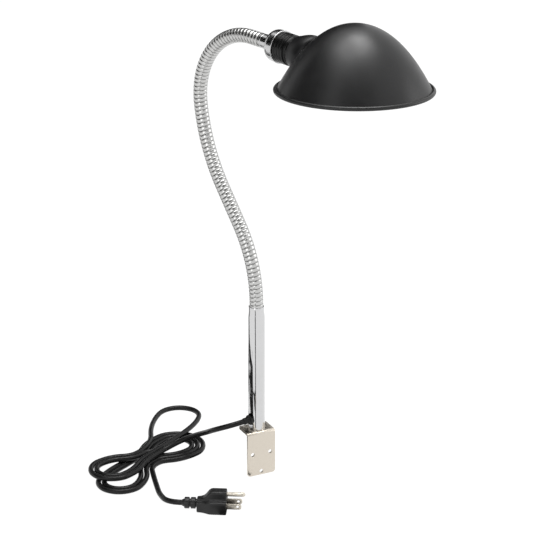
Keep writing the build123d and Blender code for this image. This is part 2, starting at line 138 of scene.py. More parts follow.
def makeMaterial(name, colour, roughness, metallic=0.0, normal=None, **sockets):
    material = bpy.data.materials.new(name)
    material.use_nodes = True
    surface = material.node_tree.nodes["Principled BSDF"]
    surface.inputs["Metallic"].default_value = metallic
    links = material.node_tree.links
    links.new(colour(material), surface.inputs["Base Color"])
    links.new(roughness(material), surface.inputs["Roughness"])
    if normal is not None:
        links.new(normal(material), surface.inputs["Normal"])
    for socket, value in sockets.items():
        surface.inputs[socket.replace("_", " ")].default_value = value
    return material


def mottled(name, colours, roughness, bumps=(), metallic=0.0, **sockets):
    # colours, roughness and bumps each lead with what grain() takes
    def normal(m):
        return bumped(m, [(grain(m, *where), strength, deep) for where, strength, deep in bumps])

    return makeMaterial(
        name,
        lambda m: blendColours(m, grain(m, *colours[0]), *colours[1:]),
        lambda m: between(m, grain(m, *roughness[0]), *roughness[1:]),
        metallic=metallic, normal=normal if bumps else None, **sockets)


def polishedChrome(name, tone, waver, rough):
    return mottled(name, ((90,), (tone, tone, tone * 1.01), (tone * 0.93,) * 3),
                   ((260, 5), rough, rough + 0.08),
                   [((34, 1, (1, 1, 0.12)), waver, 1.2)], metallic=1.0)


def hoseChrome():  # painted shade: the chrome's colour darkens towards the groove floors, and roughness rises there
    def colour(m):
        groove = addNode(m, "ShaderNodeAttribute", attribute_name="groove").outputs["Fac"]
        plain = blendColours(m, grain(m, 150), (0.60, 0.60, 0.595), (0.53, 0.53, 0.52))
        # painted shade in the grooves: the colour blends to a 0.25 grey as the groove deepens
        return blendColours(m, between(m, groove, 0, 1, 0.35, 0.95), plain, (0.25, 0.25, 0.245))

    def roughness(m):
        groove = addNode(m, "ShaderNodeAttribute", attribute_name="groove").outputs["Fac"]
        return between(m, groove, 0.28, 0.46, 0.3, 1.0)

    return makeMaterial(
        "hoseChrome", colour, roughness, metallic=1.0,
        normal=lambda m: bumped(m, [(grain(m, 700, 2), 0.12, 0.05)]))


def satinNickel():
    brushed = (0.25, 1, 1)
    return mottled("satinNickel", ((900, 4, brushed), (0.70, 0.645, 0.565), (0.635, 0.58, 0.50)),
                   ((1400, 4, brushed), 0.30, 0.37),
                   [((1300, 2, brushed), 0.03, 0.03), ((60, 2), 0.04, 0.3)], metallic=1.0)


def mouldedBlack(name, tone, gloss, coat):
    return mottled(name, ((220, 4), (tone,) * 3, (tone * 1.9,) * 3),
                   ((480, 4), gloss, gloss + 0.16),
                   [((2400, 2), 0.12, 0.03), ((160, 2), 0.08, 0.2)],
                   Coat_Weight=coat, Coat_Roughness=0.2, Specular_IOR_Level=0.22)


def shadePaint(name, shine):
    return mottled(name, ((45, 5), (0.009, 0.009, 0.0095), (0.013, 0.013, 0.0135)),
                   ((70, 5), 0.34, 0.40), [((1500, 2), 0.2, 0.04)], Specular_IOR_Level=shine)


def shadeEnamel():
    return mottled("shadeEnamel", ((30, 4), (0.86, 0.86, 0.84), (0.80, 0.80, 0.775)),
                   ((90, 4), 0.22, 0.34), [((800, 2), 0.15, 0.04)],
                   Coat_Weight=0.3, Coat_Roughness=0.12)


def softVinyl(name, tone, rough, shine=0.4):
    return mottled(name, ((120, 5), (tone,) * 3, (tone * 1.7, tone * 1.7, tone * 1.75)),
                   ((350, 4), rough, rough + 0.14), [((1900, 3), 0.3, 0.05)],
                   Specular_IOR_Level=shine, Sheen_Weight=0.02, Sheen_Roughness=0.4)


def plainMetal(name, bright, dull, rough, stretch=(1, 1, 1)):
    return mottled(name, ((300, 4, stretch), bright, dull),
                   ((800, 4, stretch), rough, rough + 0.2),
                   [((1800, 3, stretch), 0.2, 0.03)], metallic=1.0)


def frostedGlass(name, clearness, rough):
    return mottled(name, ((60, 3), (0.93, 0.93, 0.91), (0.88, 0.88, 0.86)),
                   ((500, 3), rough, rough + 0.12), [((1500, 2), 0.1, 0.02)],
                   Transmission_Weight=clearness, IOR=1.46)


finishes = {
    "plate_nickel": satinNickel(),
    "stem_chrome": polishedChrome("tubeChrome", 0.64, 0.5, 0.05),
    "neck_chrome": hoseChrome(),
    "cap_chrome": polishedChrome("capChrome", 0.60, 0.2, 0.17),
    "zinc_steel": plainMetal("zincSteel", (0.62, 0.63, 0.62), (0.50, 0.51, 0.49), 0.3),
    "brass_parts": plainMetal("plainBrass", (0.78, 0.57, 0.27), (0.62, 0.44, 0.20), 0.25),
    "shell_aluminium": plainMetal("shellMetal", (0.78, 0.78, 0.77), (0.66, 0.66, 0.65), 0.25),
    "socket_black": mouldedBlack("socketBlack", 0.005, 0.16, 0.06),
    "insulator_cream": mottled(
        "creamMoulding", ((200,), (0.74, 0.69, 0.58), (0.66, 0.61, 0.50)), ((600,), 0.4, 0.6)),
    "shade_black": shadePaint("shadePaint", 0.4),
    "bulb_glass": frostedGlass("bulbFrost", 0.25, 0.38),
    "mount_glass": frostedGlass("stemGlass", 0.9, 0.05),
    "black_vinyl": mouldedBlack("bushingBlack", 0.006, 0.28, 0.05),
    "cord_jacket": softVinyl("cordJacket", 0.005, 0.28, 0.24),
    "plug_vinyl": softVinyl("plugVinyl", 0.007, 0.34),
    "blade_nickel": plainMetal(
        "bladeNickel", (0.72, 0.68, 0.60), (0.62, 0.575, 0.50), 0.42, (0.3, 1, 1)),
    "lead_wrap": softVinyl("leadWrap", 0.05, 0.5),
}
enamel = shadeEnamel()
shadedCollarPaint = shadePaint("shadedCollarPaint", 0.16)  # painted shade: the dome's paint with less shine, so the collar looks darker in the dome's lee
for slotName, finish in finishes.items():
    finish.name = slotName
print("materials made:", len(finishes) + 1)


# Shared shaping

def wire(bm, points):  # a chain of edges through places in millimetres
    corners = [bm.verts.new(Vector(point) * mm) for point in points]
    return corners, [bm.edges.new(pair) for pair in zip(corners, corners[1:])]


def lathe(profile, steps=96, closed=False):  # profile of (radius, height) round +Z
    bm = bmesh.new()
    corners, edges = wire(bm, [(radius, 0, height) for radius, height in profile])
    if closed:
        edges.append(bm.edges.new((corners[-1], corners[0])))
    bmesh.ops.spin(bm, geom=corners + edges, cent=(0, 0, 0), axis=(0, 0, 1),
                   dvec=(0, 0, 0), angle=fullTurn, steps=steps, use_merge=True)
    bmesh.ops.remove_doubles(bm, verts=bm.verts, dist=mm / 1000)
    bmesh.ops.recalc_face_normals(bm, faces=bm.faces)
    return bm


def arc(centre, radius, start, end, count):  # points round a centre, angles in degrees
    turns = [math.radians(start + (end - start) * step / count) for step in range(count + 1)]
    return [(centre[0] + radius * math.cos(turn), centre[1] + radius * math.sin(turn))
            for turn in turns]


def pulled(points, count):  # a smooth line drawn out by four points
    line = []
    for step in range(count + 1):
        share = step / count
        left = 1 - share
        weights = (left ** 3, 3 * share * left ** 2, 3 * share ** 2 * left, share ** 3)
        line.append(tuple(sum(weight * point[axis] for weight, point in zip(weights, points))
                          for axis in (0, 1)))
    return line


def soften(bm, width, angle=32, segments=2):  # rounds the edges sharper than an angle
    sharp = [edge for edge in bm.edges if len(edge.link_faces) == 2
             and edge.calc_face_angle() > math.radians(angle)]
    bmesh.ops.bevel(bm, geom=sharp, offset=width * mm, offset_type="OFFSET",
                    segments=segments, profile=0.5, affect="EDGES", material=-1,
                    clamp_overlap=True)
    return bm


def cadCopy(node):  # a CAD node's form with its loose triangles joined into faces
    bm = bmesh.new()
    bm.from_mesh(frame["nodes"][node].data)
    bmesh.ops.remove_doubles(bm, verts=bm.verts, dist=mm * 0.002)
    bmesh.ops.dissolve_limit(bm, angle_limit=math.radians(0.4), verts=bm.verts, edges=bm.edges)
    return bm


def asObject(name, bm, materials, place=None, smooth=32):
    if place is not None:
        bmesh.ops.transform(bm, matrix=place, verts=bm.verts)
    mesh = bpy.data.meshes.new(name)
    bm.to_mesh(mesh)
    bm.free()
    for material in materials:
        mesh.materials.append(material)
    mesh.shade_smooth()
    mesh.set_sharp_from_angle(angle=math.radians(smooth))
    return linked(name, mesh)


def carve(piece, cutter):  # cuts a piece and takes the cutter away
    cut = piece.modifiers.new("cut", "BOOLEAN")
    cut.operation = "DIFFERENCE"
    cut.solver = "EXACT"
    cut.object = cutter
    shaped = bpy.data.meshes.new_from_object(
        piece.evaluated_get(bpy.context.evaluated_depsgraph_get()))
    piece.modifiers.clear()
    piece.data = shaped
    piece.data.name = piece.name
    bpy.data.objects.remove(cutter)
    return piece


def settle(piece, body, nodes=()):  # rides on its body and hides the CAD nodes it stands for
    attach(piece, body)
    if nodes:
        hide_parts(*nodes)
    return piece


def heading(degrees):
    turn = math.radians(degrees)
    return Vector((math.cos(turn), math.sin(turn), 0))


def axes(across, up, place):  # a matrix with X across, Z up and its place in millimetres
    third = up.cross(across)
    made = Matrix((across, third, up)).transposed().to_4x4()
    made.translation = Vector(place) * mm
    return made


# Cord: bushing to hank, the hank's two layers of loops, hank to plug

cord = {
    "radius": 3.1,
    "surface": -27.0,
    "tubeAxis": Vector((0, 12.7, 40)),
    "exitHeading": 192,
    "exitReach": 19.5,
    "firstRun": 32.5,
    "feed": [(-50.5, 23, 30), (-47.5, 48, 16), (-49.5, 72, 3), (-60, 89, -8.5)],
    "entryRun": 20,
    "exitRun": 16,
    "toPlug": [(-122.5, 19.5, -23.9), (-127, 1, -23.9)],
    "plugRun": 16,
    "plugHeading": -30,
    "plugFace": Vector((-73, -62.3, -18.4)),
    "plugLong": 50,
}
hank = {
    "waist": (-109, 88),
    "waistHeading": 30,
    "waistFirst": 3.6,
    "fold": 19.0,
    "spacing": 6.75,
    "upper": {"loops": 2, "right": (46, 130), "left": (200, 68)},  # heading and reach of a lobe
    "lower": {"loops": 3, "right": (22, 70), "left": (220, 78)},
    "entry": 8.0,
    "exit": 6.2,
}


def biarcCorners(start, end):  # the two corners of the arcs between two stations
    place, way = start
    endPlace, endWay = end
    chord = endPlace - place
    along = chord.dot(way + endWay)
    square = 2 * (way.dot(endWay) - 1)
    if abs(square) < 1e-6:
        reach = chord.dot(chord) / (2 * along)
    else:
        reach = (along - math.sqrt(along ** 2 - square * chord.dot(chord))) / square
    return place + way * reach, endPlace - endWay * reach


def biarcMiddle(start, end):  # where the two arcs meet
    first, second = biarcCorners(start, end)
    return (first + second) / 2, (second - first).normalized()


def movedOut(station, loops):
    place, way = station
    left = Vector((-way.y, way.x, 0)).normalized()
    return place + left * loops * hank["spacing"], way


def innerLoop(layer, height):  # the waist's two crossings and the lobes right and left of it
    centre = Vector((*hank["waist"], height))
    ahead, left = heading(hank["waistHeading"]), heading(hank["waistHeading"] + 90)
    north = (centre + left * hank["waistFirst"], ahead)
    south = (centre - left * hank["waistFirst"], -ahead)

    def lobe(turn, reach, before, after):
        out, side, radius = heading(turn), heading(turn + 90), hank["fold"]
        fold = centre + out * (reach - radius)
        bend = [(fold + side * radius, out), (fold + out * radius, -side),
                (fold - side * radius, -out)]
        return [biarcMiddle(before, bend[0])] + bend + [biarcMiddle(bend[2], after)]

    return north, south, lobe(*layer["right"], north, south), lobe(*layer["left"], south, north)


def hankStations():  # in on the upper layer from the outside, out on the lower one
    rest = cord["surface"] + cord["radius"]
    upNorth, upSouth, upRight, upLeft = innerLoop(hank["upper"], rest + hank["spacing"])
    lowNorth, lowSouth, lowRight, lowLeft = innerLoop(hank["lower"], rest)
    stations = [movedOut(upSouth, hank["upper"]["loops"] - 1)]
    for loop in reversed(range(hank["upper"]["loops"])):
        stations += [movedOut(station, loop) for station in upLeft]
        stations.append(movedOut(upNorth, loop))
        if loop > 0:
            stations += [movedOut(station, loop) for station in upRight[:-1]]
            stations.append(movedOut(upSouth, loop - 1))
    last = hank["lower"]["loops"] - 1
    for loop in range(last + 1):
        stations += [movedOut(station, loop) for station in lowRight]
        stations.append(movedOut(lowSouth, loop))
        if loop < last:
            stations += [movedOut(station, loop) for station in lowLeft[:-1]]
            stations.append(movedOut(lowNorth, loop + 1))
    stations.append(movedOut(lowLeft[0], last))
    entry, exitEnd = stations[0], stations[-1]
    return ([(entry[0] - entry[1] * hank["entry"], entry[1])] + stations
            + [(exitEnd[0] + exitEnd[1] * hank["exit"], exitEnd[1])])


def cordPoints():  # control points, in millimetres, from the bushing to the plug
    out, way = heading(cord["exitHeading"]), heading(cord["plugHeading"])
    stations = hankStations()
    entry, leave = stations[0], stations[-1]
    plugStart = cord["plugFace"] - way * cord["plugLong"]
    points = [cord["tubeAxis"] + out * cord[run] for run in ("exitReach", "firstRun")]
    points += [Vector(point) for point in cord["feed"]]
    points.append(entry[0] - entry[1] * cord["entryRun"])
    for before, after in zip(stations, stations[1:]):
        points += biarcCorners(before, after)
    points.append(leave[0] + leave[1] * cord["exitRun"])
    points += [Vector(point) for point in cord["toPlug"]]
    return points + [plugStart - way * cord["plugRun"], plugStart]


def addCord():
    points = cordPoints()
    data = bpy.data.curves.new("mainsCord", "CURVE")
    data.dimensions = "3D"
    data.resolution_u = 10
    data.bevel_depth = cord["radius"] * mm
    data.bevel_resolution = 6
    data.use_fill_caps = True
    spline = data.splines.new("NURBS")
    spline.points.add(len(points) - 1)
    for knot, point in zip(spline.points, points):
        knot.co = (*(point * mm), 1)
    spline.order_u = 3
    spline.use_endpoint_u = True
    data.materials.append(finishes["cord_jacket"])
    piece = linked("mainsCord", data)
    print("cord control points:", len(points), "length", round(spline.calc_length(), 3))
    return settle(piece, "stem", ["cord_feed", "cord_hank", "cord_to_plug"])


mainsCord = addCord()


# Neck: a wound hose, straight at first, then bent along its own line

neck = {
    "heading": -72,
    "mouth": Vector((0, 12.7, 177)),
    "bends": [(3.4, 0), (151.8, -35), (45.9, 0), (199.6, 27.9), (76.5, 102.0), (17.8, 0)],
    "pitch": 4.67,
    "lastRib": 84,
    "around": 44,
    "strip": [(7.4, 0), (7.42, 0.05), (7.74, 0.10), (7.87, 0.20), (7.9, 0.45), (7.88, 0.70),
              (7.76, 0.84), (7.42, 0.94)],  # radius and share of the pitch
    "bore": 5.0,
    "stretches": [
        # piece, first rib, last rib, bend from rib, to rib, bodies, CAD nodes
        ("neckHose1", -3, 13, 1, 11, ("stem", "neck_low"),
         ["neck_root", "neck_bend_1", "neck_link_1"]),
        ("neckHose2", 13, 30, 15, 25, ("neck_low", "neck_mid"), ["neck_bend_2", "neck_link_2"]),
        ("neckHose3", 30, 49.5, 34, 46, ("neck_mid", "neck_high"),
         ["neck_bend_3", "neck_link_3"]),
        ("neckHose4", 49.5, 67.5, 53, 65, ("neck_high", "neck_crown"),
         ["neck_bend_4", "neck_link_4"]),
        ("neckHose5", 67.5, 84, 71, 81, ("neck_crown", "head"), ["neck_bend_5", "neck_tip"]),
    ],
}


def neckFrame(along):  # across the hose at a length from the tube's mouth, in metres
    length = neck["lastRib"] * neck["pitch"]
    beyond = max(along - length, 0)
    left = max(along - beyond, 0)
    reach, rise, lean = 0.0, min(along, 0), 0.0
    for index, (size, turn) in enumerate(neck["bends"]):  # a length, or a radius with its turn
        long = size * abs(math.radians(turn)) if turn else size
        part = left if index == len(neck["bends"]) - 1 else min(left, long)
        if turn:
            bent = math.radians(turn) * part / long
            radius = math.copysign(size, turn)
            reach += radius * (math.cos(lean) - math.cos(lean + bent))
            rise += radius * (math.sin(lean + bent) - math.sin(lean))
            lean += bent
        else:
            reach += part * math.sin(lean)
            rise += part * math.cos(lean)
        left -= part
        if left <= 0:
            break
    forward = heading(neck["heading"])
    way = forward * math.sin(lean) + Vector((0, 0, math.cos(lean)))
    place = neck["mouth"] + forward * reach + Vector((0, 0, rise)) + way * beyond
    return axes(heading(neck["heading"] + 90), way, place)


def bendAlongNeck(bm):  # height above z = 0 becomes length along the neck
    for vert in bm.verts:
        along = vert.co.z / mm
        vert.co = neckFrame(along) @ Vector((vert.co.x, vert.co.y, 0))


def only(parts, kind):  # the corners or the edges among some parts of a form
    return [part for part in parts if isinstance(part, getattr(bmesh.types, kind))]


def cutFlat(bm, low, high):  # keeps what stands between two heights
    for height, keepsUpper in ((low, True), (high, False)):
        bmesh.ops.bisect_plane(
            bm, geom=bm.verts[:] + bm.edges[:] + bm.faces[:], dist=mm / 1000,
            plane_co=(0, 0, height * mm), plane_no=(0, 0, 1),
            clear_inner=keepsUpper, clear_outer=not keepsUpper)


def hoseStretch(first, last):
    bm = bmesh.new()
    pitch, around = neck["pitch"], neck["around"]
    start = (math.floor(first) - 1) * pitch
    outer = [(radius, 0, start + share * pitch) for radius, share in neck["strip"]]
    outer.append((neck["strip"][0][0], 0, start + pitch))
    inner = [(neck["bore"], 0, start + pitch), (neck["bore"], 0, start)]
    for points in (outer, inner):
        corners, edges = wire(bm, points)
        bmesh.ops.spin(bm, geom=corners + edges, cent=(0, 0, 0), axis=(0, 0, 1),
                       dvec=(0, 0, pitch * mm / around), angle=fullTurn, steps=around,
                       use_merge=False)
    oneTurn = bm.verts[:] + bm.edges[:] + bm.faces[:]
    for turn in range(1, math.ceil(last) - math.floor(first) + 2):
        more = bmesh.ops.duplicate(bm, geom=oneTurn)["geom"]
        bmesh.ops.translate(bm, vec=(0, 0, turn * pitch * mm), verts=only(more, "BMVert"))
    bmesh.ops.remove_doubles(bm, verts=bm.verts, dist=mm / 100)
    cutFlat(bm, first * pitch, last * pitch)
    ends = [edge for edge in bm.edges if len(edge.link_faces) == 1]
    for height in (first * pitch, last * pitch):
        loops = [edge for edge in ends if abs(edge.verts[0].co.z - height * mm) < mm / 10]
        bmesh.ops.bridge_loops(bm, edges=loops)
    bmesh.ops.recalc_face_normals(bm, faces=bm.faces)
    depth = bm.verts.layers.float.new("groove")
    crest = max(radius for radius, share in neck["strip"])
    floor = neck["strip"][0][0]
    for vert in bm.verts:
        radius = vert.co.xy.length / mm
        vert[depth] = min(max((crest - radius) / (crest - floor), 0), 1)
    bendAlongNeck(bm)
    return bm


def neckPoint(rib):
    return neckFrame(rib * neck["pitch"]).translation


def addNeck():
    for name, first, last, bendFrom, bendTo, bodies, nodes in neck["stretches"]:
        piece = asObject(name, hoseStretch(first, last), [finishes["neck_chrome"]], smooth=50)
        neckPoint(bendFrom)
        neckPoint(bendTo)
        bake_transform(piece)
        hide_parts(*nodes)


addNeck()
print("neck wound")


# Lead inside the stem and the neck

lead = {
    "radius": 2.2,
    "around": 18,
    "stemBend": 5.1,
    "bendSteps": 10,
    "barbIn": 5.2,
    "nodes": ["lead_root", "lead_bend_1", "lead_link_1", "lead_bend_2", "lead_link_2",
              "lead_bend_3", "lead_link_3", "lead_bend_4", "lead_link_4", "lead_bend_5",
              "lead_tip"],
    "insulatorEnd": 51.0,
}


def leadStretch(first, last):
    bm = bmesh.new()
    long = (last - first) * mm
    bmesh.ops.create_cone(bm, cap_ends=True, segments=lead["around"], depth=long,
                          radius1=lead["radius"] * mm, radius2=lead["radius"] * mm,
                          matrix=Matrix.Translation((0, 0, (first + last) / 2 * mm)))
    upright = [edge for edge in bm.edges
               if abs(edge.verts[0].co.z - edge.verts[1].co.z) > long / 2]
    bmesh.ops.subdivide_edges(bm, edges=upright, cuts=int((last - first) / neck["pitch"]),
                              use_grid_fill=True)
    bendAlongNeck(bm)
    return bm


def stemLead():  # out of the bushing, round a bend and up to the neck's foot
    bm = bmesh.new()
    side = heading(cord["exitHeading"])
    bend = lead["stemBend"]
    bmesh.ops.create_circle(bm, segments=lead["around"], radius=lead["radius"] * mm)
    tube = axes(Vector((0, 0, 1)), side, cord["tubeAxis"] + side * lead["barbIn"])
    bmesh.ops.transform(bm, matrix=tube, verts=bm.verts)
    pivot = (cord["tubeAxis"] + side * bend + Vector((0, 0, bend))) * mm
    turned = bmesh.ops.spin(
        bm, geom=bm.verts[:] + bm.edges[:], cent=pivot, axis=Vector((0, 0, 1)).cross(side),
        dvec=(0, 0, 0), angle=math.radians(90), steps=lead["bendSteps"],
        use_merge=False)["geom_last"]
    rim = only(turned, "BMEdge")
    firstRib = neck["stretches"][0][1]
    top = neck["mouth"].z + firstRib * neck["pitch"] - cord["tubeAxis"].z - bend
    up = bmesh.ops.extrude_edge_only(bm, edges=rim)["geom"]
    bmesh.ops.translate(bm, vec=(0, 0, top * mm), verts=only(up, "BMVert"))
    bmesh.ops.holes_fill(bm, edges=bm.edges, sides=lead["around"])
    bmesh.ops.recalc_face_normals(bm, faces=bm.faces)
    return bm


def addLead():
    piece = asObject("stemLead", stemLead(), [finishes["lead_wrap"]], smooth=50)
    settle(piece, "stem", ["lead_in_stem"])
    nodes = iter(lead["nodes"])
    for index, (name, first, last, bendFrom, bendTo, bodies, replaced) in enumerate(
            neck["stretches"]):
        end = last * neck["pitch"]
        if last == neck["lastRib"]:
            end += lead["insulatorEnd"]
        form = leadStretch(first * neck["pitch"], end)
        piece = asObject(f"neckLead{index + 1}", form, [finishes["lead_wrap"]], smooth=50)
        neckPoint(bendFrom)
        neckPoint(bendTo)
        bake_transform(piece)
        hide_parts(*[next(nodes) for _ in replaced])


addLead()
print("lead drawn through")


# Stem: bracket, tube, bushing and the foot's nut and washer

stem = {
    "radius": 9.525,
    "wall": 0.8,
    "seat": 7.95,
    "straight": 136.0,
    "taper": 9.0,
    "top": 150.0,
    "lip": 0.3,
    "taperSteps": 8,
    "plateEdge": 0.35,
    "nutEdge": 0.2,
    "foot": Vector((0, 12.7, 27)),
    "bushingHole": 4.25,
}


def tubeForm():
    outer, bore, mouth = stem["radius"], stem["radius"] - stem["wall"], stem["seat"] + stem["wall"]
    shoulder = stem["straight"] + stem["taper"]
    profile = [(bore, 0), (outer, 0), (outer, stem["straight"])]
    for step in range(stem["taperSteps"]):  # an S from the tube's side in to its mouth
        share = (step + 1) / stem["taperSteps"]
        ease = share * share * (3 - 2 * share)
        profile.append((outer + (mouth - outer) * ease,
                        stem["straight"] + stem["taper"] * share))
    profile += [(mouth, stem["top"]), (stem["seat"], stem["top"]), (stem["seat"], shoulder),
                (bore, stem["straight"])]
    return soften(lathe(profile, 96, closed=True), stem["lip"], angle=50)


def cylinderCutter(name, radius, low, high, place, steps=64):
    bm = bmesh.new()
    bmesh.ops.create_cone(bm, cap_ends=True, segments=steps, radius1=radius * mm,
                          radius2=radius * mm, depth=(high - low) * mm,
                          matrix=Matrix.Translation((0, 0, (low + high) / 2 * mm)))
    return asObject(name, bm, [], place)


def exitFrame():  # on the tube's axis, Z out through the bushing
    return axes(Vector((0, 0, 1)), heading(cord["exitHeading"]), cord["tubeAxis"])


def addStem():
    upright = Matrix.Translation(stem["foot"] * mm)
    tube = asObject("chromeTube", tubeForm(), [finishes["stem_chrome"]], upright)
    carve(tube, cylinderCutter("sideHole", stem["bushingHole"], 0, 20, exitFrame(), 32))
    settle(tube, "stem", ["stem_tube"])
    bracket = asObject("bentPlate", soften(cadCopy("mounting_bracket"), stem["plateEdge"], 40),
                       [finishes["plate_nickel"]], smooth=40)
    settle(bracket, "stem", ["mounting_bracket"])
    for name, node in (("footNut", "lock_nut"), ("footWasher", "lock_washer")):
        form = soften(cadCopy(node), stem["nutEdge"], 40)
        piece = asObject(name, form, [finishes["zinc_steel"]])
        settle(piece, "stem", [node])


bushing = {
    "flange": 5.75,
    "flangeThick": 2.5,
    "nose": 4.0,
    "tip": 3.7,
    "noseLong": 7.5,
    "bore": 3.15,
    "inside": 6,  # where it starts, out from the tube's axis
    "edge": 1,
    "rings": 2,
    "ringDeep": 0.45,
    "saddleGap": 0.03,
}


def addBushing():
    face = stem["radius"] + bushing["flangeThick"]
    end = face + bushing["noseLong"]
    edge, rings = bushing["edge"], bushing["rings"]
    profile = [(bushing["bore"], bushing["inside"]), (bushing["flange"], bushing["inside"])]
    profile += arc((bushing["flange"] - edge, face - edge), edge, 0, 90, 5)
    for index in range(rings):  # the nose steps down in soft rings
        start = face + index * bushing["noseLong"] / rings
        stop = start + bushing["noseLong"] / rings
        wide = bushing["nose"] - (bushing["nose"] - bushing["tip"]) * index / rings
        narrow = wide - bushing["ringDeep"]
        profile += [(wide, start + 0.2), (wide, stop - 1.1), (narrow, stop - 0.8),
                    (narrow, stop - 0.2)]
    profile += [(bushing["bore"], end)]
    form = soften(lathe(profile, 56, closed=True), 0.2, 40)
    piece = asObject("cordBushing", form, [finishes["black_vinyl"]], exitFrame())
    saddle = Matrix.Translation(stem["foot"] * mm)
    seat = stem["radius"] + bushing["saddleGap"]
    carve(piece, cylinderCutter("saddle", seat, -10, 40, saddle, 96))
    settle(piece, "stem", ["cord_bushing"])


addStem()
addBushing()
print("stem and bushing made")


# Head: sleeve, cap and socket, turned round the neck's end

head = {
    "sleeve": 7.95,
    "sleeveBore": 5.0,
    "sleeveLip": 0.6,
    "sleeveGroove": (2.6, 0.45),  # how far up, and its radius
    "capStart": 14.0,
    "capFlat": 8.95,
    "capRadius": 17.25,
    "capDome": 9.0,
    "capWall": 0.9,
    "capLip": 0.55,
    "capEnd": 29.5,
    "skirt": 16.5,
    "skirtEnd": 45.0,
    "skirtRings": 4,
    "ringGroove": 0.45,
    "step": 15.75,
    "stepEnd": 51.5,
    "stepBead": 1.2,
    "barrel": 15.3,
    "barrelEnd": 80.5,
    "bore": 13.8,
    "thread": 2.4,
    "threadDeep": 0.5,
}


def headFrame():
    return neckFrame(neck["lastRib"] * neck["pitch"])


def capForm():
    flat, outer, dome = head["capFlat"], head["capRadius"], head["capDome"]
    low, end, wall = head["capStart"], head["capEnd"], head["capWall"]
    profile = [(head["sleeveBore"], low)]
    profile += [(flat + (outer - flat) * math.sin(math.radians(turn)),
                 low + dome * (1 - math.cos(math.radians(turn)))) for turn in range(0, 91, 9)]
    profile += arc((outer, end - head["capLip"]), head["capLip"], -60, 90, 6)  # rolled lip
    profile += [(outer - wall, end)]
    profile += [(flat + (outer - wall - flat) * math.sin(math.radians(turn)),
                 low + wall + (dome - wall) * (1 - math.cos(math.radians(turn))))
                for turn in range(90, -1, -9)]
    profile += [(head["sleeveBore"], low + wall)]
    return lathe(profile, 112, closed=True)


def socketForm():
    spacing = (head["skirtEnd"] - head["capEnd"]) / head["skirtRings"]
    groove = head["ringGroove"]
    profile = [(head["bore"], head["capEnd"])]
    for index in range(head["skirtRings"]):
        start = head["capEnd"] + index * spacing
        profile += [(head["skirt"] - groove, start), (head["skirt"] - groove, start + 0.5),
                    (head["skirt"], start + 1.0), (head["skirt"], start + spacing - 0.4)]
    profile.append((head["step"] - groove, head["skirtEnd"]))
    middle = (head["skirtEnd"] + head["stepEnd"]) / 2
    quarter = (head["stepEnd"] - head["skirtEnd"]) / 4
    for centre in (middle - quarter, middle + quarter):  # two soft beads on the step
        profile += arc((head["step"] - head["stepBead"], centre), head["stepBead"], -65, 65, 6)
    start = head["stepEnd"]
    turns = int((head["barrelEnd"] - start) / head["thread"])
    for index in range(turns):  # the barrel's outside thread
        low = start + index * head["thread"]
        profile += [(head["barrel"] - head["threadDeep"], low),
                    (head["barrel"], low + head["thread"] * 0.35),
                    (head["barrel"], low + head["thread"] * 0.65)]
    profile += [(head["barrel"] - head["threadDeep"], head["barrelEnd"]),
                (head["bore"], head["barrelEnd"])]
    return soften(lathe(profile, 112, closed=True), 0.12, 35)


def sleeveForm():
    outer, lip, (groove, deep) = head["sleeve"], head["sleeveLip"], head["sleeveGroove"]
    profile = [(head["sleeveBore"], 0)] + arc((outer - lip, lip), lip, -90, 0, 4)
    profile += arc((outer, groove), deep, -100, -260, 6)  # rolled in to grip the hose
    profile += [(outer, 5), (outer, head["capStart"]), (head["sleeveBore"], head["capStart"])]
    return lathe(profile, 72, closed=True)


shadeRing = {"radius": 16.6, "bore": 15.35, "start": 52.7, "thick": 5.0, "notches": 12,
             "scallop": 0.02}


def ringForm():
    low, high = shadeRing["start"], shadeRing["start"] + shadeRing["thick"]
    profile = [(shadeRing["bore"], low), (shadeRing["radius"], low),
               (shadeRing["radius"], high), (shadeRing["bore"], high)]
    bm = lathe(profile, shadeRing["notches"] * 6, closed=True)
    for vert in bm.verts:  # shallow scallops for fingers
        if vert.co.xy.length / mm > shadeRing["radius"] - 0.5:
            turn = math.atan2(vert.co.y, vert.co.x) * shadeRing["notches"]
            vert.co.xy *= 1 - shadeRing["scallop"] * max(math.cos(turn), 0)
    return soften(bm, 0.3, 40)


def addHead():
    place = headFrame()
    for name, form, slotName, nodes in (
            ("neckSleeve", sleeveForm(), "neck_chrome", ["neck_end_sleeve"]),
            ("socketCap", capForm(), "cap_chrome", ["socket_cap"]),
            ("socketMoulding", socketForm(), "socket_black", ["socket_body"]),
            ("shadeRing", ringForm(), "socket_black", ["shade_ring"])):
        finish = finishes["cap_chrome" if slotName == "neck_chrome" else slotName]
        settle(asObject(name, form, [finish], place), "head", nodes)


addHead()
print("head turned")


# Bulb

bulb = {
    "foot": 54.2,
    "capLong": 25.0,
    "capRadius": 13.1,
    "threads": 6,
    "threadDeep": 0.8,
    "threadStart": 4,
    "threadStop": 3,
    "contactHole": 4.5,
    "wall": 0.8,
    "long": 89.0,
    "radius": 24.0,
    "neckRadius": 12.5,
}


def bulbOutline(wall):  # neck, shoulder and ball, from the cap to the crown
    start = bulb["foot"] + bulb["capLong"]
    neckWide, ball = bulb["neckRadius"] - wall, bulb["radius"] - wall
    centre = bulb["foot"] + bulb["long"] - bulb["radius"]
    middle = (start + centre) / 2
    neckLine = pulled([(neckWide, start), (neckWide, middle), (ball, middle), (ball, centre)], 12)
    return neckLine + arc((0, centre), ball, 6, 90, 14)[:-1] + [(0, centre + ball)]


def bulbGlass():
    return lathe(bulbOutline(0)[::-1] + bulbOutline(bulb["wall"]), 72)


